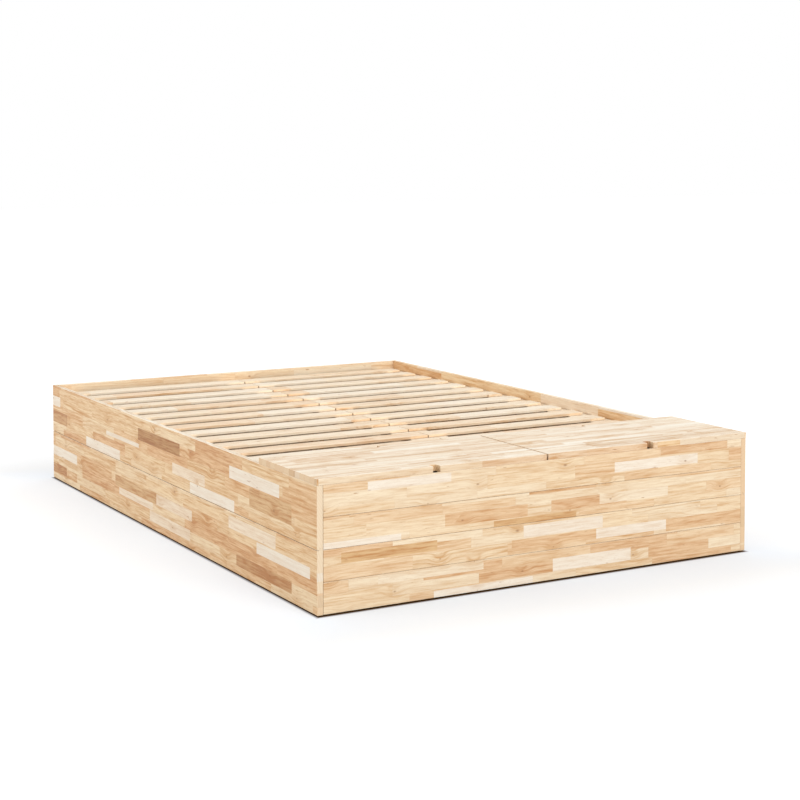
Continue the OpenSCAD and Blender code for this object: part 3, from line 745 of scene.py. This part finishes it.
# %% [markdown]
# Screws with star drives
#
# Zinc-plated countersunk screws hold the boards to the posts behind them, and their heads can be seen from
# inside the bed. The ready-made ones are plain cones on a shank. A star drive is pressed into every real
# head, so one screw is modelled with it and copied to each of their places. It is shaped in edit mode, and
# what an operator acts on is picked by its place, where a hand would click it with the mouse.

# %% Sizes of a screw and a way to pick its corners
HEAD_R = 4 * MM
SHANK_R = 2 * MM
DRIVE_R = 2.1 * MM
INSIDE_R = (HEAD_R + DRIVE_R) / 2
DRIVE_DEPTH = 1.5 * MM
DRIVE_TAPER = 0.85
VALLEY = 0.7
CORNERS = 18
HAIR = 0.1 * MM


def only(piece):
    bpy.ops.object.select_all(action="DESELECT")
    piece.select_set(True)
    bpy.context.view_layer.objects.active = piece


def select_corners(piece, wanted):
    bpy.ops.object.mode_set(mode="OBJECT")
    for corner in piece.data.vertices:
        corner.select = wanted(corner.co)
    bpy.ops.object.mode_set(mode="EDIT")


print("width in mm, head:", round(2 * HEAD_R / MM, 1), "and drive:", round(2 * DRIVE_R / MM, 1))

# %% [markdown]
# The head starts as a flat disc that is inset. Every third corner of the inner ring is drawn in, which
# leaves six lobes, and the star is then sunk and tapers a little, as the punch leaves it.

# %% Press the star into a disc
bpy.ops.object.select_all(action="DESELECT")
bpy.ops.mesh.primitive_circle_add(vertices=CORNERS, radius=HEAD_R, fill_type="NGON", location=(0, 0, 0))
screw = bpy.context.active_object
screw.name = "star_drive_screw"
bpy.ops.object.mode_set(mode="EDIT")
bpy.ops.mesh.select_mode(type="VERT")
bpy.ops.mesh.select_all(action="SELECT")
bpy.ops.mesh.inset(thickness=HEAD_R - DRIVE_R)


def in_valley(point):
    step = round(math.atan2(point.y, point.x) / (2 * math.pi / CORNERS))
    return point.xy.length < INSIDE_R and step % 3 == 0


select_corners(screw, in_valley)
bpy.ops.transform.resize(value=(VALLEY, VALLEY, 1.0))
select_corners(screw, lambda point: point.xy.length < INSIDE_R)
bpy.ops.mesh.extrude_region_move(TRANSFORM_OT_translate={"value": (0, 0, DRIVE_DEPTH)})
bpy.ops.transform.resize(value=(DRIVE_TAPER, DRIVE_TAPER, 1.0))
print("lobes of the star:", CORNERS // 3, "depth in mm:", round(DRIVE_DEPTH / MM, 1))

# %% [markdown]
# The rim of the disc is drawn backwards, first inwards as the countersink and then straight as the shank,
# whose end is closed. The thread is left out, because it never shows outside the wood.

# %% Draw out the countersink and the shank
select_corners(screw, lambda point: point.xy.length > HEAD_R - HAIR)
bpy.ops.mesh.extrude_edges_move(TRANSFORM_OT_translate={"value": (0, 0, HEAD_R - SHANK_R)})
bpy.ops.transform.resize(value=(SHANK_R / HEAD_R, SHANK_R / HEAD_R, 1.0))
bpy.ops.mesh.extrude_edges_move(TRANSFORM_OT_translate={"value": (0, 0, HEAD_R)})
bpy.ops.mesh.edge_face_add()
bpy.ops.mesh.select_all(action="SELECT")
bpy.ops.mesh.normals_make_consistent(inside=False)
bpy.ops.object.mode_set(mode="OBJECT")
print("faces of one screw:", len(screw.data.polygons))

# %% [markdown]
# The places come from the ready-made screws. A copy of them is merged and split into loose parts; each
# part's long side is its axis, and the end with the wider outline is its head.

# %% Find the screws' places
parts_copy = nodes["wood_screws"].copy()
parts_copy.data = parts_copy.data.copy()
parts_copy.parent = None
scene.collection.objects.link(parts_copy)
only(parts_copy)
bpy.ops.object.mode_set(mode="EDIT")
bpy.ops.mesh.select_all(action="SELECT")
bpy.ops.mesh.remove_doubles(threshold=0.01 * MM)
bpy.ops.mesh.separate(type="LOOSE")
bpy.ops.object.mode_set(mode="OBJECT")
loose_parts = list(bpy.context.selected_objects)


def screw_place(part):
    points = [corner.co for corner in part.data.vertices]
    low = Vector([min(p[i] for p in points) for i in range(3)])
    high = Vector([max(p[i] for p in points) for i in range(3)])
    along = max(range(3), key=lambda i: high[i] - low[i])
    beside = (along + 1) % 3
    middle = (low + high) / 2

    def reach(end):
        return max(abs(p[beside] - middle[beside]) for p in points if abs(p[along] - end) < HAIR)

    head_first = reach(low[along]) > reach(high[along])
    head = middle.copy()
    head[along] = low[along] if head_first else high[along]
    direction = Vector((0, 0, 0))
    direction[along] = 1.0 if head_first else -1.0
    return head, direction, high[along] - low[along]


places = [screw_place(part) for part in loose_parts]
for part in loose_parts:
    bpy.data.objects.remove(part)
print("screws:", len(places), "lengths in mm:", sorted({round(length / MM) for _, _, length in places}))

# %% [markdown]
# An array modifier can't follow places that turn to all sides, so each copy's mesh is moved and turned by a
# matrix. Only the corners at the tip are moved to the length of the screw in that place, which keeps the
# head as it is. The copies are joined, because nobody will ever move one screw by itself.

# %% Copy the screw to every place
TIP_FROM = 1.2 * HEAD_R
copies = []
for head, direction, length in places:
    twin = screw.copy()
    twin.data = screw.data.copy()
    for corner in twin.data.vertices:
        if corner.co.z > TIP_FROM:
            corner.co.z = length
    turn = direction.to_track_quat("Z", "Y").to_matrix().to_4x4()
    twin.data.transform(Matrix.Translation(head) @ turn)
    scene.collection.objects.link(twin)
    copies.append(twin)
bpy.data.objects.remove(screw)
only(copies[0])
for twin in copies:
    twin.select_set(True)
bpy.ops.object.join()
screws = bpy.context.active_object
screws.name = "star_drive_screws"
print("faces of all screws:", len(screws.data.polygons))

# %% [markdown]
# Zinc plating is a bright, slightly cold metal with a faint cloudiness, because the bath leaves crystals of
# uneven gloss. A noise moves both its tone and its gloss a little, which a plain grey metal would lack. It
# is coarser than real crystals, so that it shows.

# %% Bright zinc
CRYSTAL = 1.5 * MM
ZINC_SHADE = "#c3c6cb"
ZINC_LIGHT = "#d6d8da"
BRIGHT_ZINC = 0.24
CLOUDY_ZINC = 0.36
zinc, tree = new_material("bright_zinc_plating")
place = add(tree, "TexCoord").outputs["Object"]
crystals = {"Vector": place, "Scale": 1 / CRYSTAL, "Detail": 2.0}
cloud = add(tree, "TexNoise", crystals).outputs["Fac"]
metal = add(tree, "Mix", {0: cloud, 6: colour(ZINC_SHADE), 7: colour(ZINC_LIGHT)},
            data_type="RGBA").outputs[2]
gloss = add(tree, "MapRange", {0: cloud, 1: 0.3, 2: 0.7, 3: BRIGHT_ZINC, 4: CLOUDY_ZINC}).outputs[0]
shader = add(tree, "BsdfPrincipled", {"Base Color": metal, "Metallic": 1.0, "Roughness": gloss}).outputs[0]
add(tree, "OutputMaterial", {"Surface": shader})
screws.data.materials.clear()
screws.data.materials.append(zinc)
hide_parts("wood_screws")
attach(screws, "base")
print("finished:", screws.name)

# %% [markdown]
# The glides under the posts are moulded in dark plastic. Their mould was cut by sparks, which leave fine
# even pits, so the finish is a tight noise that drives a shallow bump and an uneven gloss. The pits are
# drawn a little coarser than real ones, so that they show.

# %% Moulded plastic
SPARK = 0.4 * MM
PIT_DEPTH = 0.05 * MM
DARK_GREY = "#38383a"
PLASTIC_IOR = 1.5
SMOOTH_PLASTIC = 0.45
PITTED_PLASTIC = 0.6
plastic, tree = new_material("moulded_polyethylene")
place = add(tree, "TexCoord").outputs["Object"]
pits = {"Vector": place, "Scale": 1 / SPARK, "Detail": 2.0}
spark = add(tree, "TexNoise", pits).outputs["Fac"]
bump = add(tree, "Bump", {"Height": spark, "Strength": 0.3, "Distance": PIT_DEPTH}).outputs[0]
gloss = {0: spark, 1: 0.3, 2: 0.7, 3: SMOOTH_PLASTIC, 4: PITTED_PLASTIC}
gloss = add(tree, "MapRange", gloss).outputs[0]
shader = add(tree, "BsdfPrincipled", {"Base Color": colour(DARK_GREY), "Roughness": gloss,
                                      "IOR": PLASTIC_IOR, "Normal": bump}).outputs[0]
add(tree, "OutputMaterial", {"Surface": shader})
finish_piece("floor_glides", plastic)
print("finished: floor_glides")

# %% [markdown]
# Floor and light
#
# The picture is a product shot on a white ground, so the floor is a large sheet of pale paper. What it
# needs to know is how far each point of it lies beyond the bed's outline. The place is made positive and
# half the bed's size is taken off, which gives that for both directions at once, and the larger of the two
# is the distance.

# %% The floor and its distance from the bed
FLOOR_SIZE = 60.0
SIDE_INSET = 5 * MM
bpy.ops.object.select_all(action="DESELECT")
bpy.ops.mesh.primitive_plane_add(size=FLOOR_SIZE, location=(0, 0, 0))
floor = bpy.context.active_object
floor.name = "floor"
paper, tree = new_material("white_paper_ground")
half_bed = (bed_size.x / 2 - SIDE_INSET, bed_size.y / 2, 0.0)
place = add(tree, "TexCoord").outputs["Object"]
reach = add(tree, "VectorMath", {0: place}, operation="ABSOLUTE").outputs[0]
reach = add(tree, "VectorMath", {0: reach, 1: half_bed}, operation="SUBTRACT").outputs[0]
beyond = add(tree, "SeparateXYZ", {0: reach}).outputs
outside = add(tree, "Math", {0: beyond[0], 1: beyond[1]}, operation="MAXIMUM").outputs[0]
print("floor in metres:", FLOOR_SIZE)

# %% [markdown]
# The paper is dark under the bed, which keeps the thin line of shadow in the gap below the boards and the
# deep brown between the slats. Close to the bed it is a little cooler, which takes out the warm light that
# the wood throws on it.

# %% The tone of the paper
PAPER = "#cccdce"
COOL_PAPER = "#c4cbd4"
SHADED_FLOOR = "#5c4026"
BOARD_EDGE = 2 * MM
SHADE_END = 14 * MM
COOL_START = 30 * MM
COOL_END = 250 * MM
shade = add(tree, "MapRange", {0: outside, 1: BOARD_EDGE, 2: SHADE_END}).outputs[0]
away = add(tree, "MapRange", {0: outside, 1: COOL_START, 2: COOL_END}).outputs[0]
tint = add(tree, "Mix", {0: away, 6: colour(COOL_PAPER), 7: colour(PAPER)}, data_type="RGBA").outputs[2]
tint = add(tree, "Mix", {0: shade, 6: colour(SHADED_FLOOR), 7: tint}, data_type="RGBA").outputs[2]
print("paper in linear light:", [round(c, 3) for c in colour(PAPER)])

# %% [markdown]
# Paper gives back only a part of the light that falls on it, so it would render as grey before a white
# sky. It glows a little instead, for the camera and for reflections alone, and still holds the bed's soft
# shadow. The glow fades out just before the boards. It is a little stronger far out and a little weaker
# ahead of the foot, where the bed's shadow lies deeper. From below the paper is clear, so that the bed's
# underside can be looked at.

# %% The glow of the paper
FLOOR_GLOW = 0.42
GLOW_FULL = 18 * MM
FAR_GLOW = 0.14
FAR_START = 0.2
FAR_FULL = 1.2
FOOT_DIM = 0.08
DIM_FULL = 0.24
DIM_END = 0.8
CORNER_BLEND = 0.2
WHITE = colour("#ffffff")
glow = {0: outside, 1: BOARD_EDGE, 2: GLOW_FULL, 3: 0.0, 4: FLOOR_GLOW}
glow = add(tree, "MapRange", glow).outputs[0]
far_glow = {0: outside, 1: FAR_START, 2: FAR_FULL, 3: 0.0, 4: FAR_GLOW}
far_glow = add(tree, "MapRange", far_glow).outputs[0]
glow = add(tree, "Math", {0: glow, 1: far_glow}, operation="ADD").outputs[0]
ahead = add(tree, "Math", {0: beyond[1], 1: beyond[0]}, operation="SUBTRACT").outputs[0]
ahead = add(tree, "MapRange", {0: ahead, 1: -CORNER_BLEND, 2: CORNER_BLEND},
            interpolation_type="SMOOTHSTEP").outputs[0]
dimmer = add(tree, "MapRange", {0: outside, 1: DIM_FULL, 2: DIM_END, 3: FOOT_DIM, 4: 0.0}).outputs[0]
dimmer = add(tree, "Math", {0: dimmer, 1: ahead}, operation="MULTIPLY").outputs[0]
glow = add(tree, "Math", {0: glow, 1: dimmer}, operation="SUBTRACT").outputs[0]
glow = add(tree, "Math", {0: glow, 1: 0.0}, operation="MAXIMUM").outputs[0]
rays = add(tree, "LightPath").outputs
seen = add(tree, "Math", {0: rays["Is Camera Ray"], 1: rays["Is Glossy Ray"]},
           operation="MAXIMUM").outputs[0]
glow = add(tree, "Math", {0: glow, 1: seen}, operation="MULTIPLY").outputs[0]
diffuse = add(tree, "BsdfDiffuse", {"Color": tint}).outputs[0]
light = add(tree, "Emission", {"Color": WHITE, "Strength": glow}).outputs[0]
both = add(tree, "AddShader", {0: diffuse, 1: light}).outputs[0]
from_below = add(tree, "NewGeometry").outputs["Backfacing"]
clear = add(tree, "BsdfTransparent").outputs[0]
sheet = add(tree, "MixShader", {0: from_below, 1: both, 2: clear}).outputs[0]
add(tree, "OutputMaterial", {"Surface": sheet})
floor.data.materials.append(paper)
print("glow of the paper:", FLOOR_GLOW)

# %% [markdown]
# The light is a white room: a bright sky from all sides, at which a colour renders about as it is written, a
# softbox in front that sets the foot boards off from the side, one on the window side that shapes the long
# side, and a weak one behind that opens the shadows inside. The last stays out of reflections, so that the
# lids don't mirror it.

# %% The sky and the softboxes
SKY = 0.88
world = bpy.data.worlds.new("studio")
scene.world = world
world.use_nodes = True
tree = world.node_tree
tree.nodes.clear()
seen = add(tree, "LightPath").outputs["Is Camera Ray"]
strength = add(tree, "MapRange", {0: seen, 1: 0.0, 2: 1.0, 3: SKY, 4: 1.0}).outputs[0]
sky = add(tree, "Background", {"Color": WHITE, "Strength": strength}).outputs[0]
add(tree, "OutputWorld", {"Surface": sky})


def softbox(name, place, aim, size, power, glare=True):
    data = bpy.data.lights.new(name, "AREA")
    data.shape = "SQUARE"
    data.size = size
    data.energy = power
    lamp = bpy.data.objects.new(name, data)
    lamp.location = place
    lamp.rotation_euler = (Vector(aim) - Vector(place)).to_track_quat("-Z", "Y").to_euler()
    lamp.visible_glossy = glare
    scene.collection.objects.link(lamp)


softbox("front_softbox", (1.6, -13.0, 3.4), (0, -0.6, 0.3), 6.0, 800)
softbox("window_side_softbox", (-9.0, 1.5, 2.2), (-0.8, 0.0, 0.2), 4.0, 260)
softbox("fill_softbox", (6.0, 6.0, 2.5), (0.0, 0.3, 0.3), 4.0, 70, glare=False)
scene.view_settings.view_transform = "Standard"
print("sky strength:", SKY)
